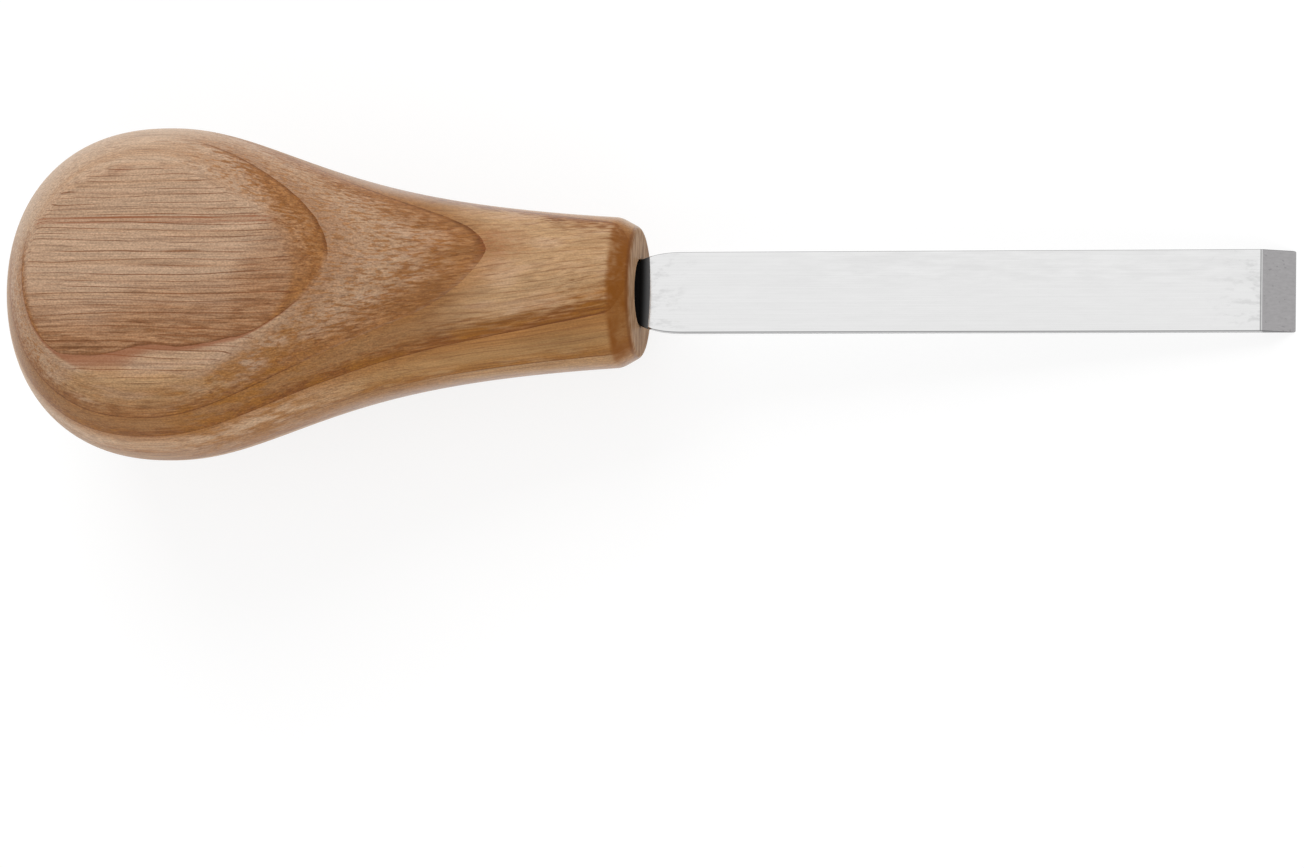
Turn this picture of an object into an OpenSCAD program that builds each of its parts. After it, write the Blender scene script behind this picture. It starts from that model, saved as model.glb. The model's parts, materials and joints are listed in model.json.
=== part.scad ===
// Palm chisel: a pear-shaped ash handle that fills the palm, a flat steel blade forged in one piece
// with its tang, and the black epoxy that holds the tang in the bore of the handle.
// Every piece is drawn along the tool's own axis, with the front face of the handle at x = 0 and the
// blade towards +X, and is then laid on the bench as the tool comes to rest: on the front edge of the
// lower flat and on the cutting edge. All sizes are in millimetres.

/* [Handle] */
// Length of the handle, from the butt to its front face
handle_len = 79.8; // [65:0.2:105]
// Diameter of the bulb at its fattest place
bulb_d = 41.6; // [36:0.2:52]
// Distance from the butt to the fattest place
bulb_back = 20.2; // [14:0.2:28]
// How square the butt is in side view: 2 is an ellipse
butt_fullness = 2.3; // [2:0.05:3]
// Distance from the fattest place at which half of the swell is gone
swell_len = 25; // [18:0.2:32]
// How suddenly the swell falls away
swell_power = 2.1; // [2:0.05:3]
// Diameter of the neck at the front of the handle, before its chamfer
neck_d = 18.3; // [15:0.1:24]
// Length of the chamfer at the front of the neck, along the axis
chamfer_len = 2.4; // [1:0.1:4]
// Depth of that chamfer, towards the axis
chamfer_depth = 1.3; // [0.4:0.1:2]
// Thickness of the handle over its two flats
flat_t = 32; // [26:0.5:35]

/* [Bore] */
// Diameter of the bore that takes the tang
bore_d = 8.3; // [7.4:0.1:10]
// Depth of the bore from the front face to the start of its drill point
bore_depth = 44; // [38:0.5:56]
// Angle of the drill point
drill_angle = 118; // [90:1:140]
// Distance of the epoxy's surface behind the front face
epoxy_recess = 0.5; // [0.1:0.1:2]

/* [Blade] */
// Length of the blade in front of the handle
blade_len = 80.5; // [50:0.5:110]
// Width of the blade
blade_w = 10; // [9:0.5:16]
// Thickness of the blade
blade_t = 1.7; // [1.2:0.1:2.6]
// Height of the blade's top face above the axis of the handle
face_rise = 0.35; // [0:0.05:1]
// Length of the rounded shoulders in front of the handle
shoulder_len = 5.7; // [3:0.1:12]
// How quickly the shoulders swell to the full width
shoulder_power = 2.6; // [1.5:0.1:4]
// Angle of the ground bevel
bevel_angle = 22; // [15:1:35]
// Thickness left at the cutting edge
edge_t = 0.05; // [0.02:0.01:0.2]
// Length of the narrow facet between the top face and the bevel
arris_len = 0.35; // [0.1:0.05:1]
// Angle of that facet
arris_angle = 8; // [4:1:12]

/* [Tang] */
// Length of the tang inside the handle
tang_len = 40; // [25:0.5:43]
// How far the blade's two ground faces stand proud of the tang's faces
tang_step = 0.1; // [0.05:0.05:0.3]
// Width of the tang behind its shoulders
tang_w = 6.2; // [4:0.1:7]
// Length over which the tang narrows behind the front face
tang_neck_len = 5; // [2:0.5:10]
// Width of the tang at its rear end
tang_end_w = 3; // [1.5:0.1:4]
// Length of the point at the rear end of the tang
tang_point_len = 6; // [2:0.5:12]
// Clearance between the tang and the wall of the bore, on each side
tang_clearance = 0.1; // [0.05:0.05:0.3]

/* [Hidden] */
$fn = 96;
// Number of straight steps that draw each curve
BUTT_STEPS = 18;
SWELL_STEPS = 30;
SHOULDER_STEPS = 12;
// Length by which a cutting shape runs past what it cuts
PAST = 1;

bulb_r = bulb_d / 2;
bulb_x = bulb_back - handle_len;
flat_z = flat_t / 2;
bore_r = bore_d / 2;
drill_point_len = bore_r / tan(drill_angle / 2);
// Radius that the swell would reach far in front of the bulb, so that the neck ends at neck_d
neck_share = 1 / (1 + pow(-bulb_x / swell_len, swell_power));
far_r = (neck_d / 2 - bulb_r * neck_share) / (1 - neck_share);

// Height of the blade's back below the axis, and its width where it enters the bore
back_z = face_rise - blade_t;
root_w = bore_d - 2 * tang_clearance;
arris_drop = arris_len * tan(arris_angle);
bevel_len = (blade_t - arris_drop - edge_t) / tan(bevel_angle);
arris_x = blade_len - bevel_len;

// Radius of the bulb and neck at a place x in front of the fattest place
function swell_r(x) = far_r + (bulb_r - far_r) / (1 + pow((x - bulb_x) / swell_len, swell_power));

// Quarter superellipse from the middle of the butt to the fattest place
butt_curve = [
    for (i = [0:BUTT_STEPS])
        let (a = 90 * i / BUTT_STEPS)
        [bulb_x - bulb_back * pow(cos(a), 2 / butt_fullness), bulb_r * pow(sin(a), 2 / butt_fullness)]
];
// Swell from the fattest place to the start of the chamfer
swell_curve = [
    for (i = [1:SWELL_STEPS])
        let (x = bulb_x + (-chamfer_len - bulb_x) * i / SWELL_STEPS)
        [x, swell_r(x)]
];
handle_outline = concat(
    butt_curve,
    swell_curve,
    [[0, swell_r(-chamfer_len) - chamfer_depth], [0, 0]]
);

// Half width of the shoulders at a place x in front of the handle
function shoulder_y(x) = blade_w / 2 - (blade_w - root_w) / 2 * pow(1 - x / shoulder_len, shoulder_power);
// Half width of the tang at a place x behind the front face, where x is negative
function tang_y(x) = tang_w / 2 + (root_w - tang_w) / 2 * pow(1 + x / tang_neck_len, 2);

blade_side = concat(
    [for (i = [0:SHOULDER_STEPS]) let (x = shoulder_len * i / SHOULDER_STEPS) [x, shoulder_y(x)]],
    [[blade_len, blade_w / 2]]
);
tang_side = concat(
    [[-tang_len, tang_end_w / 4], [tang_point_len - tang_len, tang_end_w / 2]],
    [for (i = [0:SHOULDER_STEPS]) let (x = tang_neck_len * (i / SHOULDER_STEPS - 1)) [x, tang_y(x)]],
    [[PAST / 2, root_w / 2]]
);

// The tool comes to rest on the front edge of the lower flat and on the cutting edge
flat_front_x = bulb_x + swell_len * pow((bulb_r - far_r) / (flat_z - far_r) - 1, 1 / swell_power);
rest_tilt = atan((back_z + flat_z) / (blade_len - flat_front_x));
// How far the tilted tool reaches to the rear and to the front, and how far its bench line lies below the axis
rear_reach = min([for (p = butt_curve) p[0] * cos(rest_tilt) - min(p[1], flat_z) * sin(rest_tilt)]);
front_reach = blade_len * cos(rest_tilt) + (back_z + edge_t) * sin(rest_tilt);
bench_depth = blade_len * sin(rest_tilt) - back_z * cos(rest_tilt);

// Lays a piece that is drawn along the axis down on the bench, with the origin under the middle
module lay_down() {
    translate([-(rear_reach + front_reach) / 2, 0, bench_depth])
        rotate([0, rest_tilt, 0])
            children();
}

// Turns a shape that is drawn around Z so that its Z lies along +X
module along_x() {
    rotate([0, 90, 0])
        children();
}

// Mirrors a side, given as points at half width, to a closed outline
module both_sides(side) {
    polygon(concat(side, [for (i = [len(side) - 1:-1:0]) [side[i][0], -side[i][1]]]));
}

// The drilled space in the handle, from the drill point to a place before or behind the front face
module bore_space(front) {
    along_x()
        rotate_extrude()
            polygon([
                [0, -bore_depth - drill_point_len],
                [bore_r, -bore_depth],
                [bore_r, front],
                [0, front]
            ]);
}

// The flat bar between the blade's back and its top face, cut to a plan outline and thinned by a step per face
module flat_bar(side, step = 0) {
    translate([0, 0, back_z + step])
        linear_extrude(height = blade_t - 2 * step)
            both_sides(side);
}

// The tang, whose faces lie a step below the blade's and whose edges are rounded to follow the bore
module tang() {
    intersection() {
        flat_bar(tang_side, tang_step);
        along_x()
            translate([0, 0, -tang_len - PAST])
                cylinder(h = tang_len + 2 * PAST, r = root_w / 2);
    }
}

// The pear-shaped wooden handle, with a flat above and below and a bore for the tang
module handle() {
    color("burlywood")
        lay_down()
            difference() {
                intersection() {
                    along_x()
                        rotate_extrude()
                            polygon([for (p = handle_outline) [p[1], p[0]]]);
                    translate([-handle_len - PAST, -bulb_r - PAST, -flat_z])
                        cube([handle_len + 2 * PAST, 2 * (bulb_r + PAST), flat_t]);
                }
                bore_space(PAST);
            }
}

// The steel blade with its shoulders, bevel and tang
module blade() {
    color("silver")
        lay_down() {
            intersection() {
                flat_bar(blade_side);
                translate([0, blade_w, 0])
                    rotate([90, 0, 0])
                        linear_extrude(height = 2 * blade_w)
                            polygon([
                                [0, back_z],
                                [blade_len, back_z],
                                [blade_len, back_z + edge_t],
                                [arris_x, face_rise - arris_drop],
                                [arris_x - arris_len, face_rise],
                                [0, face_rise]
                            ]);
            }
            tang();
        }
}

// The cured epoxy that fills the bore around the tang
module tang_epoxy() {
    color("black")
        lay_down()
            difference() {
                bore_space(-epoxy_recess);
                tang();
            }
}

handle();
blade();
tang_epoxy();
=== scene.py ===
"""A palm chisel: a pear-shaped ash handle, a polished steel blade and the black epoxy round its tang.

Every shape and every material is worked out in the tool's own frame, in millimetres: x runs along the
tool's axis from the front face of the handle towards the cutting edge, y runs across the blade, and z
points up on the side of the bevel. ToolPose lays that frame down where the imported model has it.
"""

import json
import logging
import math
from dataclasses import dataclass
from enum import Enum

import bpy
import numpy as np
from mathutils import Matrix, Vector


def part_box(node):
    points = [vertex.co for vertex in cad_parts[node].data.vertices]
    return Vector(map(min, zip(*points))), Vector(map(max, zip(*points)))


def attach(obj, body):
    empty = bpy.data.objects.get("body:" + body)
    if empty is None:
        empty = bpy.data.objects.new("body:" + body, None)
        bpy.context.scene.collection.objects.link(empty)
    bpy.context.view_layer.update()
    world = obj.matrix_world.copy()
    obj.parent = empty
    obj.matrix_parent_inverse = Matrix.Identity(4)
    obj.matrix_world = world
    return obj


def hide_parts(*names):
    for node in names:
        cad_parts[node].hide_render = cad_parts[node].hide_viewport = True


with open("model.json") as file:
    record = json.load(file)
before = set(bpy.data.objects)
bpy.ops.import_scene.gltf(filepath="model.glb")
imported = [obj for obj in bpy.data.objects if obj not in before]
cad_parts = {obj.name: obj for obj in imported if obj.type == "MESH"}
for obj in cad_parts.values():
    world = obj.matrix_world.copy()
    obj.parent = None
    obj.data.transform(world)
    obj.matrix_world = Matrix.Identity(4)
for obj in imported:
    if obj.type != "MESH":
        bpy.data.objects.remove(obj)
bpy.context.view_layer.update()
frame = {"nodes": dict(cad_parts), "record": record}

log = logging.getLogger("palm_chisel")
MM = 0.001
NOISE_ROUGHNESS = 0.55
Triple = tuple[float, float, float]
Rgb = Triple
# Where something starts to show and where it shows fully
Fade = tuple[float, float]
# The span of a noise, and the factors that a colour is multiplied by at the span's two ends
Tone = tuple[float, float, float, float]


def srgb(red: int, green: int, blue: int) -> Rgb:
    """Turns a colour written in 8-bit display values into linear light.

    Args:
        red: Red, from 0 to 255.
        green: Green, from 0 to 255.
        blue: Blue, from 0 to 255.

    Returns:
        The three linear values, from 0 to 1.
    """
    parts = np.array([red, green, blue]) / 255
    linear = np.where(parts <= 0.04045, parts / 12.92, ((parts + 0.055) / 1.055) ** 2.4)
    return tuple(float(part) for part in linear)


class Body(Enum):
    """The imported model's bodies that a piece can ride on."""

    ROOT = "root"


class Slot(Enum):
    """The record's material slots that the new pieces take their finish from."""

    WOOD = "ash_wood"
    STEEL = "tool_steel"


@dataclass(frozen=True)
class ToolPose:
    """Where the tool's own frame lies in the row frame.

    Attributes:
        tilt: How far the tool's axis dips towards the cutting edge, in radians.
        origin: The middle of the handle's front face, in metres.
    """

    tilt: float
    origin: Vector

    @classmethod
    def from_record(cls, mounts: list[dict], half_thickness: float, face_radius: float) -> "ToolPose":
        """Works the pose out from the upper flat's mount and the handle's box.

        The flat's outward axis is the tool's z. The axis of the tool lies half the thickness below the
        flat, and the handle's foremost point is the top of its front face.

        Args:
            mounts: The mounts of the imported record.
            half_thickness: Distance from the tool's axis to the flat, in mm.
            face_radius: Radius of the handle's front face, in mm.

        Returns:
            The pose of the tool's frame.
        """
        flat = next(mount for mount in mounts if mount["name"] == "upper_flat")
        up = Vector(flat["axis"]).normalized()
        along = Vector((up.z, 0, -up.x))
        on_axis = Vector(flat["pos_m"]) - up * half_thickness * MM
        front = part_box("handle")[1].x - face_radius * MM * up.x
        return cls(math.atan2(up.x, up.z), on_axis + along * ((front - on_axis.x) / along.x))

    def matrix(self) -> Matrix:
        """The matrix that takes the tool's frame, in metres, to the row frame."""
        return Matrix.Translation(self.origin) @ Matrix.Rotation(self.tilt, 4, "Y")

    def place(self, points: np.ndarray) -> np.ndarray:
        """Takes points from the tool's frame, in mm, to the row frame, in metres.

        Args:
            points: An array whose last axis holds x, y and z.

        Returns:
            An array of the same shape.
        """
        turn = np.array(self.matrix().to_3x3())
        return points * MM @ turn.T + np.array(self.origin)


def surface_object(name: str, rings: np.ndarray, pose: ToolPose, crease: float) -> bpy.types.Object:
    """Makes a closed piece from rings of points that follow each other along the tool.

    The grid of rings is joined into quads, and each end is closed by triangles to one middle point.
    Rings run from the rear to the front, and each one turns from +y towards +z, so faces point out.

    Args:
        name: The piece's name.
        rings: Points in the tool's frame, in mm, with axes ring, place round the ring, and x y z.
        pose: Where the tool's frame lies.
        crease: Angle in degrees over which an edge is drawn sharp.

    Returns:
        The new object, at the origin.
    """
    count, around = rings.shape[:2]
    ends = np.array([rings[0].mean(0), rings[-1].mean(0)])
    points = pose.place(np.vstack([rings.reshape(-1, 3), ends]))
    index = np.arange(count * around).reshape(count, around)
    beside = np.roll(index, -1, axis=1)
    quads = np.stack([index[:-1], beside[:-1], beside[1:], index[1:]], -1).reshape(-1, 4)
    rear = np.stack([np.full(around, count * around), beside[0], index[0]], -1)
    front = np.stack([np.full(around, count * around + 1), index[-1], beside[-1]], -1)
    mesh = bpy.data.meshes.new(name)
    mesh.from_pydata(points.tolist(), [], quads.tolist() + rear.tolist() + front.tolist())
    mesh.shade_smooth()
    mesh.set_sharp_from_angle(angle=math.radians(crease))
    mesh.validate()
    piece = bpy.data.objects.new(name, mesh)
    bpy.context.scene.collection.objects.link(piece)
    return piece


def arc_corner(
    before: np.ndarray, corner: np.ndarray, after: np.ndarray, radius: float, steps: int
) -> np.ndarray:
    """Rounds a corner of an outline with an arc that touches both of its sides.

    Args:
        before: A point on the side that comes in.
        corner: The corner.
        after: A point on the side that goes out.
        radius: The arc's radius, in mm.
        steps: Number of straight steps that draw the arc.

    Returns:
        The points of the arc, from the first side to the second.
    """
    back = (before - corner) / np.linalg.norm(before - corner)
    forth = (after - corner) / np.linalg.norm(after - corner)
    half = math.acos(float(np.clip(back @ forth, -1, 1))) / 2
    middle = corner + (back + forth) / np.linalg.norm(back + forth) * radius / math.sin(half)
    start = corner + back * radius / math.tan(half) - middle
    end = corner + forth * radius / math.tan(half) - middle
    sweep = math.pi - 2 * half
    share = np.linspace(0, 1, steps + 1)[:, None]
    return middle + (start * np.sin((1 - share) * sweep) + end * np.sin(share * sweep)) / math.sin(sweep)


@dataclass(frozen=True)
class Value:
    """A number, colour or vector that nodes work out. Numbers take part in sums as plain ones do.

    Attributes:
        work: The nodes of the material.
        socket: The output that gives the value.
    """

    work: "NodeWork"
    socket: bpy.types.NodeSocket

    def __add__(self, other: "Number") -> "Value":
        """The sum of two numbers."""
        return self.work.math("ADD", self, other)

    def __sub__(self, other: "Number") -> "Value":
        """The first number less the second."""
        return self.work.math("SUBTRACT", self, other)

    def __rsub__(self, other: "Number") -> "Value":
        """A plain number less this one."""
        return self.work.math("SUBTRACT", other, self)

    def __mul__(self, other: "Number") -> "Value":
        """The product of two numbers."""
        return self.work.math("MULTIPLY", self, other)

    def __truediv__(self, other: "Number") -> "Value":
        """The first number divided by the second."""
        return self.work.math("DIVIDE", self, other)

    def __pow__(self, other: "Number") -> "Value":
        """The number raised to a power."""
        return self.work.math("POWER", self, other)

    def __abs__(self) -> "Value":
        """The number without its sign."""
        return self.work.math("ABSOLUTE", self)

    def at_least(self, other: "Number") -> "Value":
        """The larger of two numbers."""
        return self.work.math("MAXIMUM", self, other)

    def step(self, low: float, high: float) -> "Value":
        """A smooth step from 0 at low to 1 at high, or from 1 to 0 where high is below low.

        Args:
            low: Where the result is 0.
            high: Where the result is 1.

        Returns:
            The smooth step.
        """
        ends = (low, high, 0.0, 1.0) if low < high else (high, low, 1.0, 0.0)
        return self.work.mapped(self, ends, "SMOOTHSTEP")

    def near(self, middle: float, far: float, close: float) -> "Value":
        """A smooth step by the distance from a middle: 0 when it is far, and 1 when it is close."""
        return abs(self - middle).step(far, close)

    def levels(self, low: float, high: float, dark: float, light: float) -> "Value":
        """Takes the span from low to high evenly to the span from dark to light, and stays inside it."""
        return self.work.mapped(self, (low, high, dark, light), "LINEAR")


Number = Value | float
Colour = Value | Rgb


@dataclass(frozen=True)
class Patch:
    """How large the patches of a noise are.

    Attributes:
        length: Length along the tool, in mm.
        width: Width across the tool, in mm.
        detail: Number of finer layers.
        depth: Width along z, in mm, where it isn't the same as across the tool.
    """

    length: float
    width: float
    detail: float = 2.0
    depth: float = 0.0

    @property
    def scale(self) -> Triple:
        """Patches per mm along each axis."""
        return 1 / self.length, 1 / self.width, 1 / (self.depth or self.width)


@dataclass(frozen=True)
class Slope:
    """A straight line.

    Attributes:
        start: Its height at 0.
        gain: Its rise for each unit.
    """

    start: float
    gain: float

    def at(self, value: Value) -> Value:
        """The line's height at a value."""
        return value * self.gain + self.start


class NodeWork:
    """Builds the node tree of one material with short calls."""

    def __init__(self, name: str) -> None:
        """Starts an empty material with an output and a Principled shader.

        Args:
            name: The material's name.
        """
        self.material = bpy.data.materials.new(name)
        self.material.use_nodes = True
        self.tree = self.material.node_tree
        self.tree.nodes.clear()
        output = self.tree.nodes.new("ShaderNodeOutputMaterial")
        self.shader = self.tree.nodes.new("ShaderNodeBsdfPrincipled")
        self.tree.links.new(self.shader.outputs[0], output.inputs["Surface"])

    def put(self, socket: bpy.types.NodeSocket, value: object) -> None:
        """Links an input to a value, or sets it to a plain number, vector or colour.

        Args:
            socket: The input to fill.
            value: What goes into it.
        """
        if isinstance(value, Value):
            self.tree.links.new(value.socket, socket)
        elif socket.type == "RGBA" and len(value) == 3:
            socket.default_value = (*value, 1)
        else:
            socket.default_value = value

    def node(self, kind: str, inputs: dict[str | int, object], **settings: object) -> bpy.types.Node:
        """Adds a node.

        Args:
            kind: The node's type, without its ShaderNode prefix.
            inputs: What goes into its inputs, by name or number.
            **settings: The node's own properties.

        Returns:
            The new node.
        """
        node = self.tree.nodes.new("ShaderNode" + kind)
        for key, value in settings.items():
            setattr(node, key, value)
        for key, value in inputs.items():
            self.put(node.inputs[key], value)
        return node

    def math(self, operation: str, *values: Number) -> Value:
        """Does sums.

        Args:
            operation: The Math node's operation.
            *values: Its inputs, in order.

        Returns:
            The result.
        """
        return Value(self, self.node("Math", dict(enumerate(values)), operation=operation).outputs[0])

    def mapped(self, value: Number, ends: tuple[float, ...], interpolation: str) -> Value:
        """Takes one span of numbers to another.

        Args:
            value: What is mapped.
            ends: The ends of the first span, and then those of the second.
            interpolation: The Map Range node's way from one end to the other.

        Returns:
            The mapped number.
        """
        inputs = dict(zip(("From Min", "From Max", "To Min", "To Max"), ends))
        node = self.node("MapRange", {"Value": value, **inputs}, interpolation_type=interpolation)
        return Value(self, node.outputs[0])

    def mix(self, share: Number, under: Colour, over: Colour | Number, blend: str = "MIX") -> Value:
        """Blends two colours.

        Args:
            share: How much of the second colour shows, from 0 to 1.
            under: The first colour.
            over: The second colour.
            blend: The way they are blended.

        Returns:
            The blended colour.
        """
        node = self.node("Mix", {}, data_type="RGBA", blend_type=blend)
        for number, value in ((0, share), (6, under), (7, over)):
            self.put(node.inputs[number], value)
        return Value(self, node.outputs[2])

    def shade(self, colour: Colour, factor: Value, share: Number = 1.0) -> Value:
        """Multiplies a colour by a number, as far as the share goes."""
        return self.mix(share, colour, factor, "MULTIPLY")

    def vector(self, operation: str, first: Value, second: Value | Triple) -> Value:
        """Does sums with two vectors, axis by axis."""
        return Value(self, self.node("VectorMath", {0: first, 1: second}, operation=operation).outputs[0])

    def axes(self, vector: Value) -> tuple[Value, ...]:
        """The three parts of a vector."""
        return tuple(Value(self, output) for output in self.node("SeparateXYZ", {0: vector}).outputs)

    def noise(self, vector: Value, patch: Patch, output: str | int = 0) -> Value:
        """Soft noise round 0.5.

        Args:
            vector: Where the noise is read, in mm.
            patch: How large its patches are.
            output: Which of the node's outputs is taken: the number, or the colour of three numbers.

        Returns:
            The noise.
        """
        inputs = {"Vector": self.vector("MULTIPLY", vector, patch.scale), "Scale": 1.0}
        inputs |= {"Detail": patch.detail, "Roughness": NOISE_ROUGHNESS}
        return Value(self, self.node("TexNoise", inputs, noise_dimensions="3D").outputs[output])

    def tool_place(self, pose: ToolPose) -> Value:
        """The shaded point's place in the tool's frame, in mm.

        Args:
            pose: Where the tool's frame lies.

        Returns:
            The place as a vector.
        """
        coordinates = Value(self, self.node("TexCoord", {}).outputs["Object"])
        inputs = {
            "Vector": coordinates,
            "Location": tuple(pose.origin),
            "Rotation": (0, pose.tilt, 0),
            "Scale": (MM, MM, MM),
        }
        return Value(self, self.node("Mapping", inputs, vector_type="TEXTURE").outputs[0])

    def finish(
        self, inputs: dict[str, object], height: Value | None = None, depth: float = 0.0
    ) -> bpy.types.Material:
        """Fills the shader's inputs, and gives it a relief where it has one.

        Args:
            inputs: What goes into the shader's inputs, by name.
            height: The relief's height, from 0 to 1.
            depth: How deep a height of 1 is, in mm.

        Returns:
            The finished material.
        """
        for name, value in inputs.items():
            self.put(self.shader.inputs[name], value)
        if height is not None:
            bump = self.node("Bump", {"Strength": 1.0, "Distance": depth * MM, "Height": height})
            self.put(self.shader.inputs["Normal"], Value(self, bump.outputs[0]))
        return self.material


@dataclass(frozen=True)
class Marks:
    """Marks where a noise is high.

    Attributes:
        patch: How large the noise's patches are.
        shows: Where in the noise a mark starts to show, and where it shows fully.
        share: How strong a mark is, from 0 to 1.
    """

    patch: Patch
    shows: Fade
    share: float = 1.0

    def at(self, work: NodeWork, place: Value) -> Value:
        """How strongly a mark shows at a place."""
        return work.noise(place, self.patch).step(*self.shows) * self.share


@dataclass(frozen=True)
class Layer:
    """One growth layer of the wood.

    Attributes:
        edge: Distance of its start from the pith, in mm.
        brown: How brown its early wood is, from 0 to 1.
        fade: Share of the layer over which the brown fades.
        line: How dark the thin line at its start is, from 0 to 1.
        tan: How tan the rest of its wood is, from 0 to 1.
        close: How much its wood darkens again towards the next layer.
        closing: Share of the layer over which it does.
        rosy: Whether its pale wood is rosy, at 1, or golden, at 0.
    """

    edge: float
    brown: float = 0.8
    fade: float = 0.5
    line: float = 0.5
    tan: float = 0.5
    close: float = 0.0
    closing: float = 0.2
    rosy: float = 0.0


@dataclass(frozen=True)
class Timber:
    """The log that the handle was cut from, with its growth layers as wide cylinders along the tool.

    The layers lie round the pith, a line along x below the handle, so the upper flat and the bulb cut
    them in nested arches. The fibres run along the tool, and bend a little on the neck.
    """

    pith_y: float = -40.0
    pith_z: float = -50.0
    layers: tuple[Layer, ...] = (
        Layer(46.0),
        Layer(51.0, brown=0.9, fade=0.6, tan=0.3),
        Layer(56.0, brown=0.7, tan=0.6),
        Layer(60.5, brown=0.9, fade=0.4, tan=0.4),
        Layer(65.0, brown=0.5, fade=0.25, line=0.6, tan=0.9, close=0.65, closing=0.45),
        Layer(69.3, brown=1.0, fade=0.46, line=0.85, tan=0.0, close=0.4, closing=0.22),
        Layer(72.35, brown=0.85, fade=0.36, line=0.8, tan=0.1, close=0.7, closing=0.5, rosy=0.8),
        Layer(76.3, brown=0.9, fade=0.3, line=0.7, tan=0.0, rosy=1.0),
        Layer(80.6, brown=0.3, fade=0.3, line=0.1, tan=0.1, rosy=0.5),
        Layer(84.5),
    )
    # The layers' lean and bow along the tool, with x in steps of 20 mm and y in steps of 10 mm
    lean: float = -3.718
    sway: Slope = Slope(0.021, 0.19)
    bow: Slope = Slope(-0.212, -0.1)
    # How far a layer's edge moves out at the rim of the flat, and more so at the rear
    rim: Fade = (13.5, 15.9)
    rim_lift: Slope = Slope(0.45, 0.05)
    rim_front: Fade = (-54.0, -46.0)
    rim_front_lift: float = -0.1
    rim_rear: Fade = (-58.0, -66.0)
    rim_rear_lift: Slope = Slope(0.944, 0.08)
    rim_rear_side: float = -6.0
    # How far it moves in at the tip of the arch on the neck
    tip_along: Fade = (-30.0, -18.0)
    tip_across: Fade = (-7.0, 4.0)
    tip_lift: Slope = Slope(-0.62, 0.09)
    swing: Patch = Patch(17, 9, 1)
    swing_size: float = 0.14
    ragged: Patch = Patch(3.5, 1.1)
    ragged_size: float = 0.07
    # The fibres' bend on the neck, from its start on, and their slight waves
    bend_start: float = -52.0
    bend: float = -0.0019
    wave: Patch = Patch(26, 8, 1)
    wave_size: Triple = (0.0, 1.6, 1.6)

    def ring_radius(self, work: NodeWork, place: Value) -> Value:
        """Distance from the pith. The layers bend along the tool, and their edges are slightly ragged.

        Args:
            work: The material's nodes.
            place: The place in the tool's frame, in mm.

        Returns:
            The distance, in mm.
        """
        along, across, height = work.axes(place)
        side, rise = across - self.pith_y, height - self.pith_z
        forth, wide = along / 20 + 2.0, across / 10
        bent = forth * self.sway.at(wide) + forth * forth * self.bow.at(wide) + wide * self.lean
        radius = work.math("SQRT", side * side + rise * rise) + bent

        behind = self.rim_rear_lift.at(work.math("MINIMUM", across, self.rim_rear_side))
        lift = self.rim_lift.at(across) + along.step(*self.rim_front) * self.rim_front_lift
        lift = lift + along.step(*self.rim_rear) * behind
        tip = along.step(*self.tip_along) * across.step(*self.tip_across) * self.tip_lift.at(across)
        radius = radius + lift * height.step(*self.rim) + tip

        radius = radius + (work.noise(place, self.swing) - 0.5) * self.swing_size
        return radius + (work.noise(place, self.ragged) - 0.5) * self.ragged_size

    def layer_phase(self, work: NodeWork, radius: Value) -> Value:
        """Counts growth layers outwards: a whole number at each layer's edge, and even steps between.

        Args:
            work: The material's nodes.
            radius: Distance from the pith, in mm.

        Returns:
            The number of layers inside that radius.
        """
        low, high = self.layers[0].edge, self.layers[-1].edge
        last = len(self.layers) - 1
        node = work.node("FloatCurve", {"Value": (radius - low) / (high - low)})
        points = node.mapping.curves[0].points
        for _ in self.layers[2:]:
            points.new(0.5, 0.5)
        for number, layer in enumerate(self.layers):
            points[number].location = ((layer.edge - low) / (high - low), number / last)
            points[number].handle_type = "VECTOR"
        node.mapping.update()
        return Value(work, node.outputs[0]) * last

    def layer_traits(self, work: NodeWork, phase: Value, names: tuple[str, ...]) -> dict[str, Value]:
        """Looks up what the layer at a phase is like.

        Args:
            work: The material's nodes.
            phase: The number of layers inside the shaded point.
            names: Three or four of a layer's attributes.

        Returns:
            Their values in that layer, by name.
        """
        count = len(self.layers)
        ramp = work.node("ValToRGB", {"Fac": (work.math("FLOOR", phase) + 0.5) / count})
        ramp.color_ramp.interpolation = "CONSTANT"
        for number, layer in enumerate(self.layers):
            stops = ramp.color_ramp.elements
            stop = stops[number] if number < 2 else stops.new(number / count)
            stop.position = number / count
            stop.color = (*(getattr(layer, name) for name in names), 1.0)[:4]
        colour = Value(work, ramp.outputs["Color"])
        outputs = (*work.node("SeparateColor", {0: colour}).outputs, ramp.outputs["Alpha"])
        return {name: Value(work, output) for name, output in zip(names, outputs)}

    def fibre_place(self, work: NodeWork, place: Value) -> Value:
        """Bends the place so that the fibres run a little slantwise on the neck, and wave slightly.

        Args:
            work: The material's nodes.
            place: The place in the tool's frame, in mm.

        Returns:
            The place along straight fibres.
        """
        past = (work.axes(place)[0] - self.bend_start).at_least(0.0)
        bent = Value(work, work.node("CombineXYZ", {1: past * past * self.bend}).outputs[0])
        wave = work.vector("SUBTRACT", work.noise(place, self.wave, "Color"), (0.5, 0.5, 0.5))
        drift = work.vector("MULTIPLY", wave, self.wave_size)
        return work.vector("ADD", work.vector("ADD", place, bent), drift)


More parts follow.
